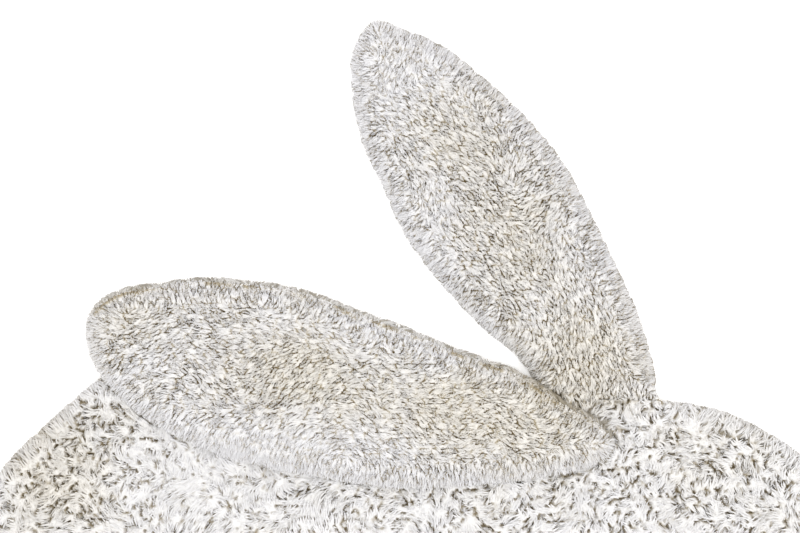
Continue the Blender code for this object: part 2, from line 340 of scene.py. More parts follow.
def smooth_line(rows, step, closed=True):
    """A smooth line through the places, as points about step apart.

    Between two neighbours the line is a Catmull-Rom cubic, whose slope at each
    place is half the way from the place before to the place after.
    """
    places = np.array([(x, y) for _, x, y in rows])
    count = len(places) if closed else len(places) - 1
    if closed:
        places = np.vstack([places[-1], places, places[:2]])
    else:
        places = np.vstack([2 * places[0] - places[1], places, 2 * places[-1] - places[-2]])
    before, start, end, after = (places[i : i + count, None] for i in range(4))
    t = np.linspace(0, 1, CURVE_POINTS, endpoint=False)[None, :, None]
    curve = start + t / 2 * (
        (end - before)
        + t * (2 * before - 5 * start + 4 * end - after)
        + t * t * (3 * start - before - 3 * end + after)
    )
    curve = np.vstack([curve.reshape(-1, 2), end[-1]])
    along = length_along(curve)
    pieces = round(along[-1] / step)
    at = np.linspace(0, along[-1], pieces + 1)[: pieces if closed else None]
    return points_at(curve, along, at)


def smooth_step(share):
    """0 to 1 as the share goes from 0 to 1, level at both ends: 3 s^2 - 2 s^3."""
    share = np.clip(share, 0, 1)
    return share * share * (3 - 2 * share)


def rise(value, start, width):
    """0 up to the start of a soft step, 1 past its width."""
    return smooth_step((value - start) / width)


def fade(value, start, width):
    """1 up to the start of a soft step, 0 past its width."""
    return 1 - rise(value, start, width)


def level_way(angle):
    """The unit ways at the given angles in the rug's plane."""
    return np.stack([np.cos(angle), np.sin(angle)], axis=1)


def outward(outline):
    """The unit normal at each point of a clockwise closed line, pointing out."""
    along = np.roll(outline, -1, axis=0) - np.roll(outline, 1, axis=0)
    normal = np.stack([-along[:, 1], along[:, 0]], axis=1)
    return normal / np.linalg.norm(normal, axis=1, keepdims=True)


def rim_of(outline):
    """A clockwise closed line made ready for measuring: marks a little apart along it,
    the way out at each, and a tree that finds the nearest mark."""
    closed = np.vstack([outline, outline[0]])
    along = length_along(closed)
    marks = points_at(closed, along, np.arange(0, along[-1] - MARK_STEP / 2, MARK_STEP))
    tree = KDTree(len(marks))
    for number, (x, y) in enumerate(marks.tolist()):
        tree.insert((x, y, 0), number)
    tree.balance()
    return {
        "line": outline,
        "length": along[-1],
        "marks": marks,
        "out": outward(marks),
        "tree": tree,
    }


def sewn_rim(rows):
    """The rim of a piece that is sewn on: its free edge, closed by a straight seam."""
    free = smooth_line(rows, OUTLINE_STEP, closed=False)
    count = max(2, round(np.linalg.norm(free[0] - free[-1]) / OUTLINE_STEP))
    t = np.linspace(0, 1, count + 1)[1:-1, None]
    return rim_of(np.vstack([free, free[-1] + t * (free[0] - free[-1])]))


def nearest_rim(places, rim):
    """Depth inside a rim, negative outside it, and the unit way out past its nearest mark."""
    find = rim["tree"].find
    found = np.array([find((x, y, 0))[1] for x, y in places.tolist()], int)
    off = rim["marks"][found] - places
    level = (off * rim["out"][found]).sum(axis=1)
    far = np.linalg.norm(off, axis=1)
    close = far < 2 * MARK_STEP
    depth = np.where(close, level, np.copysign(far, level))
    out = off / np.where(close, 1, depth)[:, None]
    return depth, np.where(close[:, None], rim["out"][found], out)


def soft_noise(places, period, seed):
    """Smooth noise from 0 to 1: random values on a square lattice, joined by smooth steps."""
    values = np.random.default_rng(seed).random((NOISE_CELLS + 1, NOISE_CELLS + 1))
    cell = np.floor(places / period).astype(int)
    share = smooth_step(places / period - cell)
    i, j = (cell % NOISE_CELLS).T
    low = values[i, j] + share[:, 0] * (values[i + 1, j] - values[i, j])
    high = values[i, j + 1] + share[:, 0] * (values[i + 1, j + 1] - values[i, j + 1])
    return low + share[:, 1] * (high - low)


def bell(places, x, y, half_x, half_y):
    """A soft round patch: 1 in its middle, about a third at its half length and width."""
    return np.exp(-(((places - (x, y)) / (half_x, half_y)) ** 2).sum(axis=1))


def patches(places, table):
    """The sum of a table's soft patches, each with its amount."""
    total = np.zeros(len(places))
    for _, x, y, half_x, half_y, amount in table:
        total += amount * bell(places, x, y, half_x, half_y)
    return total


def parted_shade(places):
    """How much painted shade lies where the pile is parted, from 0 to 1: a bell across each line,
    broken along it by noise."""
    shade = np.zeros(len(places))
    for line, amount in PARTED_LINES:
        marks = smooth_line(line, PARTED_STEP, closed=False)
        low, high = marks.min(axis=0) - PARTED_REACH, marks.max(axis=0) + PARTED_REACH
        near = np.flatnonzero(((places > low) & (places < high)).all(axis=1))
        far = np.linalg.norm(places[near, None] - marks, axis=2).min(axis=1)
        broken = rise(soft_noise(places[near], *PARTED_NOISE), *PARTED_BREAK)
        dark = amount * np.exp(-((far / PARTED_HALF_WIDTH) ** 2)) * broken
        shade[near] = np.maximum(shade[near], dark)
    return shade


def scattered(rim, spacing, seed, edge=0.0):
    """Places about spacing apart inside a rim: a triangular grid, shaken."""
    rng = np.random.default_rng(seed)
    low, high = rim["line"].min(axis=0), rim["line"].max(axis=0)
    x, y = np.meshgrid(
        np.arange(low[0], high[0], spacing),
        np.arange(low[1], high[1], spacing * TRIANGLE_HEIGHT),
    )
    x[1::2] += spacing / 2
    places = np.stack([x.ravel(), y.ravel()], axis=1)
    places += rng.uniform(-ROOT_SHAKE, ROOT_SHAKE, places.shape) * spacing
    return places[nearest_rim(places, rim)[0] > edge]


def doubled_blend(share, first, second):
    """Blends two directions that have no front or back, through their doubled angles."""
    x = (1 - share) * np.cos(2 * first) + share * np.cos(2 * second)
    y = (1 - share) * np.sin(2 * first) + share * np.sin(2 * second)
    return np.arctan2(y, x) / 2


def tuft_lattice(rim, coat, seed):
    """Centres of the tufts: one in each square of a lattice, shaken, with its direction."""
    rng = np.random.default_rng(seed)
    spacing = coat["tuft_spacing"]
    margin = LATTICE_MARGIN * spacing
    low = rim["line"].min(axis=0) - margin
    shape = np.ceil((rim["line"].max(axis=0) + margin - low) / spacing).astype(int)
    i, j = np.meshgrid(np.arange(shape[0]), np.arange(shape[1]), indexing="ij")
    shake = rng.uniform(*TUFT_SHAKE, (*shape, 2))
    places = low + (np.stack([i, j], axis=2) + shake) * spacing
    places[..., 0] += (j % 2 - 0.5) * spacing / 2
    places = places.reshape(-1, 2)
    angle = coat["direction"](coat, places, *nearest_rim(places, rim))
    dice = rng.random((len(places), 4))
    angle = angle + np.where(dice[:, 1] > 0.5, math.pi, 0)
    return {
        "low": low,
        "spacing": spacing,
        "shape": shape,
        "places": places,
        "way": level_way(angle),
        "dice": dice,
    }


def two_nearest_tufts(places, lattice, ratio):
    """The nearest and the second nearest tuft of each place, and how far it is from both.

    A step along a tuft's own direction counts ratio times less than one across it. Only
    the centres in the squares a few steps round the place can be nearest.
    """
    low, spacing, shape = lattice["low"], lattice["spacing"], lattice["shape"]
    square = np.floor((places - low) / spacing).astype(int)
    count = len(places)
    far = np.full((2, count), np.inf)
    tuft = np.zeros((2, count), int)
    for step_x in range(-SEARCH, SEARCH + 1):
        for step_y in range(-SEARCH, SEARCH + 1):
            i = np.clip(square[:, 0] + step_x, 0, shape[0] - 1)
            j = np.clip(square[:, 1] + step_y, 0, shape[1] - 1)
            index = i * shape[1] + j
            rel = places - lattice["places"][index]
            way = lattice["way"][index]
            along = (rel * way).sum(axis=1) / ratio
            across = rel[:, 0] * way[:, 1] - rel[:, 1] * way[:, 0]
            off = np.sqrt(along * along + across * across)
            first = off < far[0]
            second = ~first & (off < far[1])
            far[1] = np.where(first, far[0], np.where(second, off, far[1]))
            tuft[1] = np.where(first, tuft[0], np.where(second, index, tuft[1]))
            far[0] = np.where(first, off, far[0])
            tuft[0] = np.where(first, index, tuft[0])
    return tuft, far


def tuft_slope(places, lattice, tuft, far, ratio):
    """The way in which the stretched distance to a tuft's centre grows, not quite a unit."""
    rel = places - lattice["places"][tuft]
    way = lattice["way"][tuft]
    along = (rel * way).sum(axis=1)[:, None] * way
    return (along / ratio**2 + rel - along) / np.maximum(far, LEAST_LENGTH)[:, None]


def new_object(name, mesh, material_list):
    """A piece of the scene from its mesh, on the rug's only body."""
    for material in material_list:
        mesh.materials.append(material)
    made = bpy.data.objects.new(name, mesh)
    bpy.context.scene.collection.objects.link(made)
    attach(made, "root")
    return made


def mesh_of(name, verts, corners, sizes, smooth=True):
    """A mesh from its vertices and the corners of all faces in one row."""
    mesh = bpy.data.meshes.new(name)
    mesh.vertices.add(len(verts))
    mesh.vertices.foreach_set("co", verts.astype(np.float32).ravel())
    mesh.loops.add(len(corners))
    mesh.loops.foreach_set("vertex_index", corners.astype(np.int32))
    mesh.polygons.add(len(sizes))
    starts = np.insert(np.cumsum(sizes)[:-1], 0, 0)
    mesh.polygons.foreach_set("loop_start", starts.astype(np.int32))
    mesh.polygons.foreach_set("use_smooth", np.full(len(sizes), smooth))
    mesh.update(calc_edges=True)
    return mesh


def lay_map(mesh, uv):
    """Gives a mesh the map OFBake, from the places of its face corners there."""
    layer = mesh.uv_layers.new(name="OFBake")
    layer.uv.foreach_set("vector", uv.astype(np.float32).ravel())


def strand_mesh(name, root, tip, width, shade):
    """Straight tapered strands of three sides, each ended in a point.

    Three corners stand square to the strand at its root, at angles 0, 120 and 240
    degrees, so turned that one side of the strand faces about up. In the map the strand
    lies at its shade across, a little wide, and from the root up to the tip along.
    """
    rng = np.random.default_rng(len(root))
    count = len(root)
    axis = tip - root
    axis /= np.linalg.norm(axis, axis=1, keepdims=True)
    side = np.cross(axis, NEARLY_UP)
    side /= np.linalg.norm(side, axis=1, keepdims=True)
    upward = np.cross(side, axis)
    turn = math.pi / 6 + np.arange(3) * 2 * math.pi / 3 + rng.normal(size=(count, 1)) * SIDE_TURN
    ring = np.cos(turn)[..., None] * side[:, None] + np.sin(turn)[..., None] * upward[:, None]
    foot = root[:, None] + ring * width[:, None, None] / 2
    verts = np.concatenate([foot, tip[:, None]], axis=1)
    pattern = np.array([0, 1, 3, 1, 2, 3, 2, 0, 3, 2, 1, 0])
    corners = (pattern + 4 * np.arange(count)[:, None]).ravel()
    mesh = mesh_of(name, verts.reshape(-1, 3), corners, np.full(4 * count, 3), smooth=False)

    across = np.array([-1, 0, 1, 0])[pattern]
    along = np.where(pattern == 3, TIP_ON_MAP, ROOT_ON_MAP)
    along[-3:] = BASE_ON_MAP
    uv = np.empty((count, len(pattern), 2))
    uv[..., 0] = shade[:, None] + across * SHADE_WIDTH / 2 / WARMTH_STEPS
    uv[..., 1] = along
    lay_map(mesh, uv)
    return mesh


def shade_column(warmth, brightness):
    """Where a strand's colour lies across the map: a column for its warmth, and within
    the column the brightness."""
    column = np.floor(np.clip(warmth, 0, WARMEST) * WARMTH_STEPS)
    within = SHADE_MARGIN + np.clip(brightness, 0, 1) * (1 - 2 * SHADE_MARGIN)
    return (column + within) / WARMTH_STEPS


def lattice_faces(rim, step):
    """Places on a triangular lattice inside a closed line, and the triangles between them.

    A triangle stays where all its corners are inside. Where the rim of what stays would
    touch itself in one place, the triangles round that place go.
    """
    low, high = rim["line"].min(axis=0) - step, rim["line"].max(axis=0) + step
    wide, tall = np.ceil((high - low) / (step, step * TRIANGLE_HEIGHT)).astype(int) + 1
    row, column = np.meshgrid(np.arange(tall), np.arange(wide), indexing="ij")
    places = np.stack([column + row % 2 / 2, row * TRIANGLE_HEIGHT], axis=2)
    places = (low + places * step).reshape(-1, 2)
    number = np.arange(tall * wide).reshape(tall, wide)
    near, near_right = number[:-1, :-1], number[:-1, 1:]
    far, far_right = number[1:, :-1], number[1:, 1:]
    even = (row[:-1, :-1] % 2 == 0)[..., None]
    first = np.where(
        even,
        np.stack([near, near_right, far], axis=2),
        np.stack([near, far_right, far], axis=2),
    )
    second = np.where(
        even,
        np.stack([near_right, far_right, far], axis=2),
        np.stack([near, near_right, far_right], axis=2),
    )
    faces = np.concatenate([first.reshape(-1, 3), second.reshape(-1, 3)])
    inside = nearest_rim(places, rim)[0] > RIM_CLEARANCE * step
    faces = faces[inside[faces].all(axis=1)]
    while True:
        starts, ends = border_edges(faces, len(places))
        crossed = np.bincount(starts, minlength=len(places)) > 1
        if not crossed.any():
            break
        faces = faces[~crossed[faces].any(axis=1)]
    used = np.unique(faces)
    renumber = np.zeros(len(places), int)
    renumber[used] = np.arange(len(used))
    next_along = dict(zip(renumber[starts].tolist(), renumber[ends].tolist()))
    loop = [next(iter(next_along))]
    while next_along[loop[-1]] != loop[0]:
        loop.append(next_along[loop[-1]])
    assert len(loop) == len(starts), "the ground has more than one rim"
    return places[used], renumber[faces], np.array(loop)


def border_edges(faces, count):
    """Starts and ends of the edges that only one triangle has, in that triangle's order."""
    starts = faces.ravel()
    ends = np.roll(faces, -1, axis=1).ravel()
    alone = ~np.isin(starts * count + ends, ends * count + starts)
    return starts[alone], ends[alone]


def ground_mesh(name, rim, step, under, surface):
    """A closed slab: a fine lattice on top, a wall at the rim, and a coarse underside.

    surface gives the height of the top and its two shades. The map OFBake shows the top
    in its upper half and the underside, with the wall, in its lower half.
    """
    flat, faces, loop = lattice_faces(rim, step)
    depth, out = nearest_rim(flat[loop], rim)
    flat[loop] += out * depth[:, None]
    height, openness, warmth = surface(flat)

    border = flat[loop]
    inner = scattered(rim, UNDERSIDE_STEP, seed=61, edge=RIM_CLEARANCE * UNDERSIDE_STEP)
    low_flat = np.vstack([border, inner])
    points = [Vector(place) for place in low_flat]
    edges = [(i, (i + 1) % len(border)) for i in range(len(border))]
    filled = delaunay_2d_cdt(points, edges, [], INSIDE_TRIANGLES, WELD)
    low_faces, origins = filled[2], filled[3]
    low_faces = np.array([[origins[corner][0] for corner in face] for face in low_faces])

    first_low = len(flat)
    foot = first_low + np.arange(len(border))
    wall = np.stack([loop, foot, np.roll(foot, -1), np.roll(loop, -1)], axis=1)
    verts = np.vstack([
        np.column_stack([flat, height]),
        np.column_stack([low_flat, under(low_flat)]),
    ])
    corners = np.concatenate([faces.ravel(), wall.ravel(), first_low + low_faces[:, ::-1].ravel()])
    counts = (len(faces), len(wall), len(low_faces))
    mesh = mesh_of(name, verts, corners, np.repeat((3, 4, 3), counts))
    # The backing's finish comes first, then the pile's, for the top and the wall
    mesh.polygons.foreach_set("material_index", np.repeat((1, 1, 0), counts).astype(np.int32))
    for key, values in (("openness", openness), ("warmth", warmth)):
        attribute = mesh.attributes.new(key, "FLOAT", "POINT")
        shades = np.concatenate([values, np.full(len(low_flat), FOOT_PAINTED_SHADE)])
        attribute.data.foreach_set("value", shades.astype(np.float32))

    low, size = flat.min(axis=0) - MAP_MARGIN, np.ptp(flat, axis=0) + 2 * MAP_MARGIN
    widened = np.vstack([flat, border + outward(border[::-1])[::-1] * WALL_ON_MAP, inner])
    uv = (widened[corners] - low) / size * (1, 0.5)
    uv[: 3 * len(faces), 1] += 0.5
    lay_map(mesh, uv)
    return mesh


body_rim = sewn_rim(BODY_OUTLINE)
standing_rim = sewn_rim(STANDING_EAR_OUTLINE)
lying_rim = rim_of(smooth_line(LYING_EAR_OUTLINE, OUTLINE_STEP))


def flat_underside(places):
    """On the floor, at 0 everywhere."""
    return np.zeros(len(places))


def lying_underside(places):
    """Flat on the pressed pile, then sinking past the edge of what holds it up."""
    past = -np.maximum(nearest_rim(places, body_rim)[0], nearest_rim(places, standing_rim)[0])
    return PRESSED_THICK + SEAM_GAP - TIP_DROOP * rise(past, *DROOP_STEP)


def ground_profile(depth):
    """Height of the ground's top, as a share of the thickness, from the depth inside the
    outline: a wall, a quarter circle above it, then level."""
    share = np.clip((depth - GROUND_INSET) / GROUND_ROUND, 0, 1)
    return GROUND_SHARE * (RIM_WALL + (1 - RIM_WALL) * np.sqrt(1 - (1 - share) ** 2))


def ground_line(outline, neighbour):
    """The closed line set in by the ground's inset, less so near the piece sewn to it."""
    inset = np.full(len(outline), GROUND_INSET)
    if neighbour is not None:
        apart = -nearest_rim(outline, neighbour)[0]
        inset *= rise(apart, *SEAM_INSET_STEP)
    return outline - outward(outline) * inset[:, None]


MATT_SPECULAR = 0.15


def shader_of(name, roughness, sheen=0.0):
    """A new material, its node tree and its shader, matt as wool and cloth are."""
    material = bpy.data.materials.new(name)
    material.use_nodes = True
    shader = material.node_tree.nodes["Principled BSDF"]
    shader.inputs["Roughness"].default_value = roughness
    shader.inputs["Sheen Weight"].default_value = sheen
    shader.inputs["Specular IOR Level"].default_value = MATT_SPECULAR
    return material, material.node_tree, shader


def math_node(tree, operation, *values):
    """The output of a sum on the given values, each a number or another node's output."""
    node = tree.nodes.new("ShaderNodeMath")
    node.operation = operation
    for socket, value in zip(node.inputs, values):
        if isinstance(value, (int, float)):
            socket.default_value = value
        else:
            tree.links.new(value, socket)
    return node.outputs[0]


def mix_colours(tree, share, first, second, blend="MIX"):
    """The output of a mix of two colours, each of its values a number or an output."""
    node = tree.nodes.new("ShaderNodeMix")
    node.data_type = "RGBA"
    node.blend_type = blend
    colour_sockets = [s for s in node.inputs if s.type == "RGBA"]
    for socket, value in zip([node.inputs[0], *colour_sockets], (share, first, second)):
        if isinstance(value, (int, float)):
            socket.default_value = value
        else:
            tree.links.new(value, socket)
    return [s for s in node.outputs if s.type == "RGBA"][0]


def colour_ramp(tree, value, stops):
    """The output of a ramp between colours, each stop a place from 0 to 1 and its colour."""
    node = tree.nodes.new("ShaderNodeValToRGB")
    ramp = node.color_ramp
    while len(ramp.elements) < len(stops):
        ramp.elements.new(0.5)
    for element, (place, colour) in zip(ramp.elements, stops):
        element.position = place
        element.color = (*colour, 1)
    tree.links.new(value, node.inputs[0])
    return node.outputs[0]


# Colours, as stops from dark to light
# The wool's dark end serves the painted shade on strands, and the few dark strands
WOOL_COOL = (
    (0.0, (0.28, 0.25, 0.20)),
    (0.3, (0.67, 0.66, 0.655)),
    (0.6, (0.79, 0.785, 0.797)),
    (1.0, (0.83, 0.825, 0.845)),
)
WOOL_WARM = (
    (0.0, (0.24, 0.20, 0.13)),
    (0.3, (0.63, 0.60, 0.55)),
    (0.6, (0.78, 0.755, 0.71)),
    (1.0, (0.84, 0.825, 0.79)),
)
# Painted shade at a strand's root, light towards its tip, as a factor along the strand
ROOT_SHADE_ALONG_STRAND = ((0.0, (0.93, 0.92, 0.89)), (0.35, (0.985, 0.98, 0.97)), (0.8, (1.0, 1.0, 1.0)))
# The ground's dark end is the roots' brown, deepened as painted shade
GROUND_COOL = ((0.0, (0.19, 0.145, 0.075)), (0.5, (0.45, 0.40, 0.32)), (1.0, (0.75, 0.74, 0.73)))
GROUND_WARM = ((0.0, (0.19, 0.135, 0.055)), (0.5, (0.43, 0.37, 0.26)), (1.0, (0.73, 0.70, 0.65)))
WEAVE_SHADED_COLOURS = ((0.0, (0.42, 0.37, 0.29)), (1.0, (0.66, 0.60, 0.50)))
THREAD_STEP = 0.002
WEAVE_RELIEF = 0.0006


def wool_colour(tree, brightness, warmth, cool_stops, warm_stops):
    """The output of a wool colour: by its brightness on two ramps, and by warmth between them."""
    cool = colour_ramp(tree, brightness, cool_stops)
    warm = colour_ramp(tree, brightness, warm_stops)
    return mix_colours(tree, warmth, cool, warm)


def pile_strand_material():
    """Wool colour from the strand's own map: column of warmth, brightness within it, and
    painted shade from a dark root to a light tip along V."""
    material, tree, shader = shader_of("pile_wool", 0.85, sheen=0.15)
    map_node = tree.nodes.new("ShaderNodeUVMap")
    map_node.uv_map = "OFBake"
    split = tree.nodes.new("ShaderNodeSeparateXYZ")
    tree.links.new(map_node.outputs[0], split.inputs[0])
    column = math_node(tree, "MULTIPLY", split.outputs[0], WARMTH_STEPS)
    whole = math_node(tree, "FLOOR", column)
    warmth = math_node(tree, "DIVIDE", whole, WARMTH_STEPS - 1)
    brightness = math_node(tree, "SUBTRACT", column, whole)
    tip = wool_colour(tree, brightness, warmth, WOOL_COOL, WOOL_WARM)
    along = colour_ramp(tree, split.outputs[1], ROOT_SHADE_ALONG_STRAND)
    tree.links.new(mix_colours(tree, 1.0, tip, along, "MULTIPLY"), shader.inputs["Base Color"])
    return material


def pile_ground_material():
    """The felted ground: wool on its tufts, brown where it is parted down to the roots, with
    painted shade darkening the cracks, the groove, the parted lines and the wall's foot.
    """
    material, tree, shader = shader_of("pile_ground", 0.95)
    shades = []
    for key in ("openness", "warmth"):
        node = tree.nodes.new("ShaderNodeAttribute")
        node.attribute_name = key
        shades.append(node.outputs["Fac"])
    colour = wool_colour(tree, *shades, GROUND_COOL, GROUND_WARM)
    tree.links.new(colour, shader.inputs["Base Color"])
    return material


def backing_material():
    """Plain woven backing, whose threads go over and under each other.

    The weave's height is a wave along X times one along Y, so it is high where a thread
    crosses over and low where it dips under. Its colour follows the height: painted shade where a
    thread dips under.
    """
    material, tree, shader = shader_of("woven_backing", 0.9)
    place = tree.nodes.new("ShaderNodeTexCoord").outputs["Object"]
    split = tree.nodes.new("ShaderNodeSeparateXYZ")
    tree.links.new(place, split.inputs[0])
    waves = [
        math_node(tree, "SINE", math_node(tree, "MULTIPLY", along, math.pi / THREAD_STEP))
        for along in split.outputs[:2]
    ]
    height = math_node(tree, "MULTIPLY", *waves)
    share = math_node(tree, "MULTIPLY_ADD", height, 0.5, 0.5)
    tree.links.new(colour_ramp(tree, share, WEAVE_SHADED_COLOURS), shader.inputs["Base Color"])
    bump = tree.nodes.new("ShaderNodeBump")
    bump.inputs["Distance"].default_value = WEAVE_RELIEF
    tree.links.new(height, bump.inputs["Height"])
    tree.links.new(bump.outputs[0], shader.inputs["Normal"])
    return material


wool = pile_strand_material()
ground_finish = pile_ground_material()
backing = backing_material()


def ear_direction(coat, places, depth, out):
    """The tufts' angles on an ear: along its axis with noise, turned in the combed patches,
    and square to the rim near it."""
    angle = coat["axis"] + (soft_noise(places, *coat["way_noise"]) - 0.5) * coat["way_spread"]
    for _, x, y, half_x, half_y, turned in COMBED_PATCHES:
        share = bell(places, x, y, half_x, half_y)
        angle = doubled_blend(share, angle, math.radians(turned))
    at_rim = fade(depth, *coat["way_rim_step"])
    return doubled_blend(at_rim, angle, np.arctan2(out[:, 1], out[:, 0]))


def body_direction(coat, places, depth, out):
    """The tufts' angles on the body: every way, from wide noise."""
    return soft_noise(places, *coat["way_noise"]) * coat["way_half_turns"] * math.pi


# What differs between the coats: (value, on the ears, on the shaggier body)
COAT_VALUES = (
    ("tuft_spacing", 0.0050, 0.0074),
    ("tuft_ratio", 1.9, 1.4),  # how much longer than wide a tuft is
    ("cushion_round", 0.0018, 0.0035),
    ("border_dip", 0.03, 0.05),
    ("crack_width", 0.0013, 0.0015),
    ("crack_slope", 0.0012, 0.0020),
    ("crack_dip", 0.34, 0.45),
    ("closed_share", 0.05, 0.42),  # of the borders have no crack
    ("crack_noise", (0.028, 12), (0.026, 22)),
    ("crack_spread", 0.16, 0.50),
    ("rim_closes", 0.15, 0.0),
    ("white_closes", 0.5, 0.6),
    ("warm_opens", 0.0, 0.18),
    ("strand_width", 0.0021, 0.0027),
    ("stray", 0.0005, 0.0010),
    ("fan", 0.20, 0.25),  # how far strands spread from their tuft's middle
    ("dome", 0.07, 0.08),
    ("tuft_lean", 0.0032, 0.0045),
    ("rim_straightens", 0.6, 0.0),
    ("wild_lean", 0.0016, 0.0030),
    ("lean_noise", (0.030, 13), (0.040, 23)),
    ("rim_step", (0.006, 0.032), (0.004, 0.030)),
    ("rim_comb", 0.0035, 0.008),
    ("edge_width", 0.012, 0.014),
    ("edge_comb", 0.0030, 0.004),
    ("rim_sweep", 0.026, 0.018),
    ("rim_reach", 0.0010, 0.0004),
    ("warm_noise", (0.022, 14), (0.020, 24)),
    ("warm_spread", 0.35, 0.5),
    ("white_cools", 0.6, 0.5),
    ("bright", 0.68, 0.495),
    ("bright_noise", (0.012, 15), (0.014, 25)),
    ("bright_spread", 0.04, 0.10),
    ("white_brightens", 0.02, 0.03),
    ("warm_darkens", 0.10, 0.22),
    # Painted light on the rim, against the shade of its slope
    ("rim_brightens", 0.04, 0.0),
    # Painted shade on the rim's wall, and more where it faces the groove's way
    ("wall_dark", 0.14, 0.0),
    ("wall_facing_dark", 0.16, 0.0),
    ("grain", 0.025, 0.030),
)
EAR_COAT = {name: ear_value for name, ear_value, _ in COAT_VALUES} | {
    "direction": ear_direction,
    "way_noise": (0.045, 11),
    "way_spread": 1.3,
    "way_rim_step": (0.010, 0.026),
}
LYING_EAR_COAT = EAR_COAT | {
    "axis": math.radians(-8),
    "warm": 0.25,
    "groove_way": (0.0, 1.0),
    "groove": 1.0,
}
STANDING_EAR_COAT = EAR_COAT | {
    "axis": math.radians(122),
    "warm": 0.20,
    "groove_way": (0.85, 0.5),
    "groove": 0.2,
}
BODY_COAT = {name: body_value for name, _, body_value in COAT_VALUES} | {
    "direction": body_direction,
    "way_noise": (0.065, 21),
    "way_half_turns": 3,
    "warm": 0.14,
    "groove_way": (0.0, 1.0),
    "groove": 0.0,
}


def coat_at(piece, places, depth, out):
    """What a piece's coat is like at each place, from the depth inside the rim and the way out.

    The strands lean a wild way inside and outwards near the rim. The groove is a bell over
    the depth, where the rim faces the groove's way, and noise breaks it; there the pile is
    lower, and painted shadow makes it warmer and darker. The rim has painted light and its
    wall painted shade. White and warm patches change the cracks and the colours.
    """
    coat = piece["coat"]
    white, warm = patches(places, WHITE_PATCHES), patches(places, WARM_PATCHES)
    rim = fade(depth, *coat["rim_step"])
    edge = fade(depth, 0, coat["edge_width"])
    facing = rise(out @ coat["groove_way"], *GROOVE_FACING)
    rolled = coat["groove"] * facing
    groove = np.exp(-(((depth - GROOVE_DEPTH) / GROOVE_HALF_WIDTH) ** 2)) * rolled
    groove *= rise(soft_noise(places, *GROOVE_NOISE), *GROOVE_BREAK)

    lean_angle = soft_noise(places, *coat["lean_noise"]) * 4 * math.pi
    wild = level_way(lean_angle) * coat["wild_lean"]
    combed = rim * coat["rim_comb"] + edge * coat["edge_comb"]
    combed = combed * (1 - ROLL_HOLD * rolled * fade(depth, *ROLL_STEP))

    warmth = coat["warm"] + warm - white * coat["white_cools"]
    uneven = soft_noise(places, *coat["warm_noise"]) - 0.5
    warmth += uneven * coat["warm_spread"] - rim * RIM_COOL
    bright = coat["bright"] + white * coat["white_brightens"] - warm * coat["warm_darkens"]
    uneven = soft_noise(places, *coat["bright_noise"]) - 0.5
    bright += uneven * coat["bright_spread"] + rim * coat["rim_brightens"]

    crack = CRACK_OPEN + coat["crack_spread"] * soft_noise(places, *coat["crack_noise"])
    crack *= 1 - coat["rim_closes"] * rim
    crack *= 1 - coat["white_closes"] * np.minimum(white, 1)
    return {
        "crack": crack + coat["warm_opens"] * warm,
        "lean": wild * (1 - RIM_CALM * rim)[:, None] + out * combed[:, None],
        "tuft_lean": coat["tuft_lean"] * (1 - coat["rim_straightens"] * rim),
        "height": piece["thick"] * (1 - EDGE_LOW * edge) * (1 - GROOVE_LOW * groove),
        "warmth": warmth + GROOVE_SHADOW_WARMTH * groove,
        "brightness": bright - GROOVE_PAINTED_SHADOW * groove,
        # The rim's wall, darker by painted shade
        "wall_shaded_brightness": bright - coat["wall_dark"] - coat["wall_facing_dark"] * facing,
        "groove": groove,
    }


def tufts_of(piece, places):
    """How the tufts lie at each place of a piece: the nearest one, the way in from the
    border with the next one, how far off that border is, how open the crack there is,
    depth and way out to the free rim, and the coat's own values.

    A border has no crack where its two tufts' dice say so. A crack is narrower where its
    noise is low, and at its tuft's ends.
    """
    coat, lattice = piece["coat"], piece["lattice"]
    tuft, far = two_nearest_tufts(places, lattice, coat["tuft_ratio"])
    inward = tuft_slope(places, lattice, tuft[1], far[1], coat["tuft_ratio"])
    inward -= tuft_slope(places, lattice, tuft[0], far[0], coat["tuft_ratio"])
    inward /= np.maximum(np.linalg.norm(inward, axis=1), LEAST_LENGTH)[:, None]
    depth, out = nearest_rim(places, piece["rim"])
    free_depth = depth_from_free_rim(piece, places, depth)
    field = coat_at(piece, places, free_depth, out)

    dice = lattice["dice"]
    pair = (dice[tuft[0], 0] + dice[tuft[1], 0]) % 1
    noise = soft_noise(places, *CRACK_BREAK_NOISE)
    way = lattice["way"][tuft[0]]
    beside = np.abs(inward[:, 0] * way[:, 1] - inward[:, 1] * way[:, 0])
    crack = field["crack"] * rise(pair, coat["closed_share"], CLOSED_FADE)
    crack *= CRACK_BREAK[0] + CRACK_BREAK[1] * noise
    crack *= CRACK_SIDE[0] + CRACK_SIDE[1] * beside
    return {
        "centre": lattice["places"][tuft[0]],
        "way": way,
        "inward": inward,
        "edge": (far[1] - far[0]) / 2,
        "crack": np.clip(crack, 0, WIDEST_CRACK),
        "free_depth": free_depth,
        "out": out,
        "field": field,
        "dice": dice[tuft[0]],
    }


def depth_from_free_rim(piece, places, depth):
    """The depth inside the rim, with more added near the seam, where the pile goes on."""
    if piece["neighbour"] is None:
        return depth
    apart = -nearest_rim(places, piece["neighbour"])[0]
    return depth + SEAM_DEPTH * fade(apart, *SEAM_DEPTH_STEP)


def ground_height(piece, tufts, edge):
    """Height of the ground's top over the piece's underside: a cushion under each tuft,
    which dips at its border and more where a crack is open."""
    coat, crack = piece["coat"], tufts["crack"]
    border = fade(edge, 0, coat["cushion_round"])
    beside = fade(edge, crack * coat["crack_width"] / 2, coat["crack_slope"])
    dip = coat["border_dip"] * border + coat["crack_dip"] * beside * np.minimum(crack, 1)
    return piece["thick"] * ground_profile(tufts["free_depth"]) * (1 - dip)


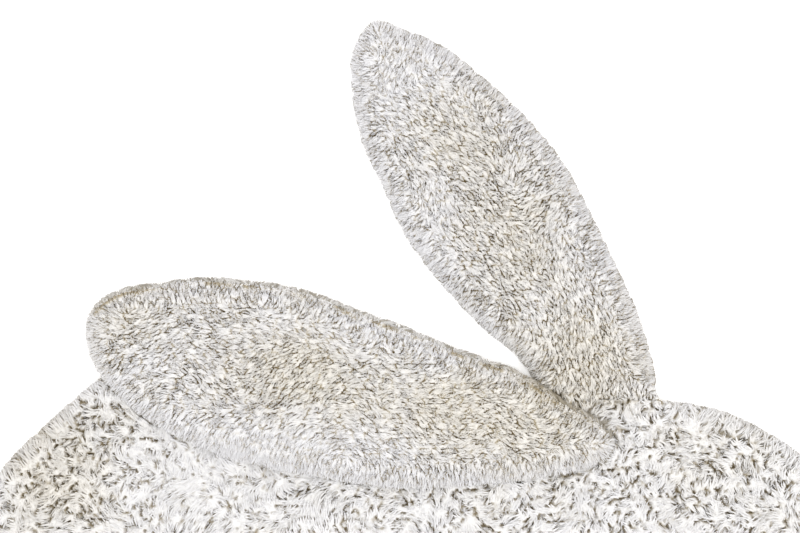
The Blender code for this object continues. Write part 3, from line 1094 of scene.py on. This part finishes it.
def lay_ground(node, piece):
    """The ground under a piece's pile."""

    def surface(places):
        """Height of the top, its openness to the light and its warmth. The openness, painted into
        the colour as shade, falls from 1 on the tufts where a crack, the groove or a parted line
        goes down."""
        tufts = tufts_of(piece, places)
        height = piece["under"](places) + ground_height(piece, tufts, tufts["edge"])
        if piece["pressed_by"] is not None:
            pressed = rise(nearest_rim(places, piece["pressed_by"])[0], *PRESSED_STEP)
            height -= pressed * np.maximum(height - PRESSED_THICK, 0)
        floor_fade = CRACK_FLOOR_FADE * piece["coat"]["crack_slope"]
        near = fade(tufts["edge"], CRACK_FLOOR, floor_fade)
        openness = 1 - near * np.clip(tufts["crack"] * CRACK_SHADE[0] - CRACK_SHADE[1], 0, 1)
        groove = GROOVE_GROUND_PAINTED_SHADOW * tufts["field"]["groove"]
        openness *= (1 - groove) * (1 - parted_shade(places))
        return height, openness, np.clip(tufts["field"]["warmth"], 0, 1)

    mesh = ground_mesh(f"{node}_ground", piece["inner_rim"], piece["step"], piece["under"], surface)
    made = new_object(f"{node}_ground", mesh, [backing, ground_finish])
    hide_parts(node)
    return made


def combed_reach(coat, tufts, roots, room, rng):
    """How far each tip lies from its root: the coat's lean, the tuft's own, a fan from the
    tuft's middle and a stray part. A tip that would cross the crack, past the room before
    it, or reach out over the rim is drawn back."""
    field, inward, out = tufts["field"], tufts["inward"], tufts["out"]
    own_lean = field["tuft_lean"] * (0.5 + tufts["dice"][:, 2])
    reach = field["lean"] + tufts["way"] * own_lean[:, None]
    reach += (roots - tufts["centre"]) * coat["fan"]
    reach += rng.normal(size=roots.shape) * coat["stray"]
    crossing = np.maximum(-(reach * inward).sum(axis=1) - room, 0)
    reach += inward * (crossing * np.minimum(tufts["crack"] * CRACK_HOLD, 1))[:, None]
    over = (reach * out).sum(axis=1) - tufts["free_depth"] - rng.uniform(*OVER_RIM, len(roots))
    return reach - out * np.maximum(over, 0)[:, None]


def pile_height(coat, tufts, edge, rng):
    """Height of each tip over the piece's underside: domed over the tuft, and uneven."""
    drop = DOME_CLOSED + DOME_OPEN * tufts["crack"]
    dome = 1 - coat["dome"] * drop * fade(edge, 0, DOME_WIDTH)
    height = tufts["field"]["height"] * dome * rng.uniform(*HEIGHT_SPREAD, len(edge))
    return height * (TUFT_LOWEST + TUFT_MORE * tufts["dice"][:, 3])


def pile_shade(coat, tufts, roots, rng):
    """Place in the colour map: the coat's shades, uneven from strand to strand and from
    tuft to tuft, with painted shade where the pile is parted, and dark on a few strands."""
    field, dice, count = tufts["field"], tufts["dice"], len(roots)
    warmth = field["warmth"] + rng.normal(size=count) * WARM_GRAIN
    warmth += (dice[:, 2] - 0.5) * TUFT_WARMTH
    brightness = field["brightness"] + rng.normal(size=count) * coat["grain"]
    brightness += (dice[:, 3] - 0.5) * TUFT_BRIGHTNESS - PARTED_PAINTED_SHADE * parted_shade(roots)
    brightness -= rng.uniform(*DARK_SPREAD, count) * (rng.random(count) < DARK_SHARE)
    return shade_column(warmth, brightness)


def pile_strands(piece, roots, seed):
    """Strands on the given roots: gathered in tufts, parted at cracks, combed by the coat.

    A root nearer to its tuft's edge than half the crack's width moves in until it is not.
    """
    rng = np.random.default_rng(seed)
    coat = piece["coat"]
    tufts = tufts_of(piece, roots)
    crack = tufts["crack"]
    half_crack = crack * coat["crack_width"] / 2
    width = coat["strand_width"] * rng.uniform(*WIDTH_SPREAD, len(roots))
    shift = np.clip(half_crack + CRACK_CLEARANCE * width * crack - tufts["edge"], 0, None)
    edge = tufts["edge"] + shift
    roots = roots + tufts["inward"] * shift[:, None]
    reach = combed_reach(coat, tufts, roots, np.maximum(edge - half_crack, 0), rng)
    floor_z = piece["under"](roots)
    ground_z = floor_z + ground_height(piece, tufts, edge)
    tip_z = np.maximum(floor_z + pile_height(coat, tufts, edge, rng), ground_z + TIP_CLEARANCE)
    root = np.column_stack([roots, ground_z - ROOT_SUNK])
    tip = np.column_stack([roots + reach, tip_z])
    return root, tip, width, pile_shade(coat, tufts, roots, rng)


def rim_strands(piece, seed, away_from=None):
    """Strands that stand out from the ground's wall, at random heights, and end near the
    outline a little lower than they start. They are swept to one side or the other."""
    rng = np.random.default_rng(seed)
    inner, coat = piece["inner_rim"], piece["coat"]
    picked = rng.integers(0, len(inner["marks"]), round(inner["length"] / RIM_SPACING))
    roots = inner["marks"][picked]
    roots = roots + rng.uniform(-RIM_SHAKE, RIM_SHAKE, roots.shape)
    if away_from is not None:
        roots = roots[nearest_rim(roots, away_from)[0] < -SEAM_BARE]
    count = len(roots)
    depth, out = nearest_rim(roots, piece["rim"])
    level = rng.random(count)
    field = coat_at(piece, roots, depth, out)
    beside = np.stack([-out[:, 1], out[:, 0]], axis=1)
    swept = (soft_noise(roots, RIM_SWEEP_PERIOD, seed) - 0.5) * coat["rim_sweep"]
    swept += rng.normal(size=count) * RIM_STRAY
    tips = roots + out * depth[:, None] + beside * swept[:, None]
    tip_depth, tip_out = nearest_rim(tips, piece["rim"])
    past = tip_depth + coat["rim_reach"] + rng.uniform(-RIM_STRAY, RIM_STRAY, count)
    tips += tip_out * past[:, None]

    floor_z = piece["under"](roots)
    up = piece["thick"] * GROUND_SHARE * RIM_WALL * level
    root = np.column_stack([roots - out * RIM_SUNK, floor_z + RIM_ROOT_HEIGHT + up])
    tip = np.column_stack([tips, floor_z + RIM_TIP_HEIGHT + up * RIM_TIP_FALL])
    width = coat["strand_width"] * rng.uniform(*RIM_WIDTH_SPREAD, count)
    width = np.minimum(width, RIM_WIDEST)
    warmth = field["warmth"] + rng.normal(size=count) * WARM_GRAIN
    # Painted shade: the rim strands are darker, more towards the floor, and where the pile is
    # parted
    brightness = field["wall_shaded_brightness"] - RIM_PAINTED_SHADE - RIM_FOOT_PAINTED_SHADE * (1 - level)
    brightness += rng.normal(size=count) * coat["grain"] - parted_shade(tips)
    # Painted shade in the gaps between the rim's locks
    shade_specks = rise(soft_noise(roots, SHADE_SPECK_PERIOD, seed + 1), *SHADE_SPECK_STEP)
    brightness -= shade_specks * rng.uniform(*SHADE_SPECK_SPREAD, count)
    return root, tip, width, shade_column(warmth, brightness)


def add_pile(name, strands):
    """A piece of pile: its strands' mesh in the wool's finish."""
    return new_object(name, strand_mesh(name, *strands), [wool])


def joined(first, second):
    """Two groups of strands as one."""
    return [np.concatenate(pair) for pair in zip(first, second)]


def piece_of(rim, neighbour, step, under, thick, coat, seed, slot, pressed_by=None):
    """What the ground and the pile of one sewn piece are made from.

    neighbour is the rim of the piece sewn to it in its plane, and pressed_by that of the
    piece that lies on it.
    """
    return {
        "rim": rim,
        "neighbour": neighbour,
        "pressed_by": pressed_by,
        "inner_rim": rim_of(ground_line(rim["line"], neighbour)),
        "step": step,
        "under": under,
        "thick": thick,
        "coat": coat,
        "lattice": tuft_lattice(rim, coat, seed),
        "slot": slot,
    }


lying_ear = piece_of(
    rim=lying_rim,
    neighbour=None,
    step=EAR_GROUND_STEP,
    under=lying_underside,
    thick=LYING_EAR_THICK,
    coat=LYING_EAR_COAT,
    seed=32,
    slot="ear_pile",
)
standing_ear = piece_of(
    rim=standing_rim,
    neighbour=body_rim,
    step=EAR_GROUND_STEP,
    under=flat_underside,
    thick=STANDING_EAR_THICK,
    coat=STANDING_EAR_COAT,
    seed=42,
    slot="ear_pile",
)
body = piece_of(
    rim=body_rim,
    neighbour=standing_rim,
    step=BODY_GROUND_STEP,
    under=flat_underside,
    thick=BODY_THICK,
    coat=BODY_COAT,
    seed=52,
    slot="body_pile",
    pressed_by=lying_rim,
)
lying_ground = lay_ground("ear_lying", lying_ear)
standing_ground = lay_ground("ear_standing", standing_ear)
body_ground = lay_ground("body", body)

# The pile
lying_roots = scattered(lying_ear["inner_rim"], EAR_ROOT_SPACING, seed=31)
lying_pile = add_pile(
    "ear_lying_pile",
    joined(pile_strands(lying_ear, lying_roots, seed=31), rim_strands(lying_ear, seed=32)),
)
standing_roots = scattered(standing_ear["inner_rim"], EAR_ROOT_SPACING, seed=41)
under_lying_ear = nearest_rim(standing_roots, lying_rim)[0]
standing_roots = standing_roots[under_lying_ear < STANDING_PILE_UNDER]
standing_pile = add_pile(
    "ear_standing_pile",
    joined(
        pile_strands(standing_ear, standing_roots, seed=41),
        rim_strands(standing_ear, seed=42, away_from=body_rim),
    ),
)
body_roots = scattered(body["inner_rim"], BODY_ROOT_SPACING, seed=51)
body_roots = body_roots[nearest_rim(body_roots, lying_rim)[0] < BODY_PILE_UNDER]
body_strands = pile_strands(body, body_roots, seed=51)
left_to_right = np.argsort(body_roots[:, 0])
body_piles = [
    add_pile(f"body_pile_{number + 1}", [values[part] for values in body_strands])
    for number, part in enumerate(np.array_split(left_to_right, BODY_PILE_PARTS))
]
body_rim_strands = rim_strands(body, seed=52, away_from=standing_rim)
body_piles.append(add_pile("body_rim_pile", body_rim_strands))


# Studio
FLOOR_CORNERS = [(-6, -6, 0), (6, -6, 0), (6, 6, 0), (-6, 6, 0)]
FLOOR_COLOUR = (0.93, 0.93, 0.93, 1)
FLOOR_GLOW = 0.35
SKY_STRENGTH = 1.37
KEY_LIGHT = {"place": (1.2, -1.0, 2.2), "aim": (0, 0.1, 0), "size": 1.2, "power": 13}

floor_mesh = bpy.data.meshes.new("floor")
floor_mesh.from_pydata(FLOOR_CORNERS, [], [(0, 1, 2, 3)])
floor = bpy.data.objects.new("floor", floor_mesh)
bpy.context.scene.collection.objects.link(floor)
floor_material, _, floor_shader = shader_of("pale_floor", 0.9)
floor_shader.inputs["Base Color"].default_value = FLOOR_COLOUR
floor_shader.inputs["Emission Color"].default_value = (1, 1, 1, 1)
floor_shader.inputs["Emission Strength"].default_value = FLOOR_GLOW
floor_mesh.materials.append(floor_material)

world = bpy.data.worlds.new("studio")
world.use_nodes = True
sky = world.node_tree.nodes["Background"]
sky.inputs["Color"].default_value = (1, 1, 1, 1)
sky.inputs["Strength"].default_value = SKY_STRENGTH
bpy.context.scene.world = world


def add_area_light(name, place, aim, size, power):
    """A round soft light at its place, turned towards its aim."""
    light = bpy.data.lights.new(name, "AREA")
    light.shape = "DISK"
    light.size = size
    light.energy = power
    made = bpy.data.objects.new(name, light)
    made.location = place
    way = Vector(aim) - Vector(place)
    made.rotation_euler = way.to_track_quat("-Z", "Y").to_euler()
    bpy.context.scene.collection.objects.link(made)


add_area_light("key", **KEY_LIGHT)

SENSOR_WIDTH = 36  # millimetres
CAMERA_HEIGHT = 2.6
VIEW_CENTRE = (0.020, 0.2085)
VIEW_WIDTH = 0.800
FOCUS_HEIGHT = 0.020
camera_data = bpy.data.cameras.new("camera")
camera_data.sensor_width = SENSOR_WIDTH
camera_data.lens = SENSOR_WIDTH * (CAMERA_HEIGHT - FOCUS_HEIGHT) / VIEW_WIDTH
camera = bpy.data.objects.new("camera", camera_data)
camera.location = (*VIEW_CENTRE, CAMERA_HEIGHT)
bpy.context.scene.collection.objects.link(camera)
bpy.context.scene.camera = camera
bpy.context.scene.view_settings.view_transform = "Standard"
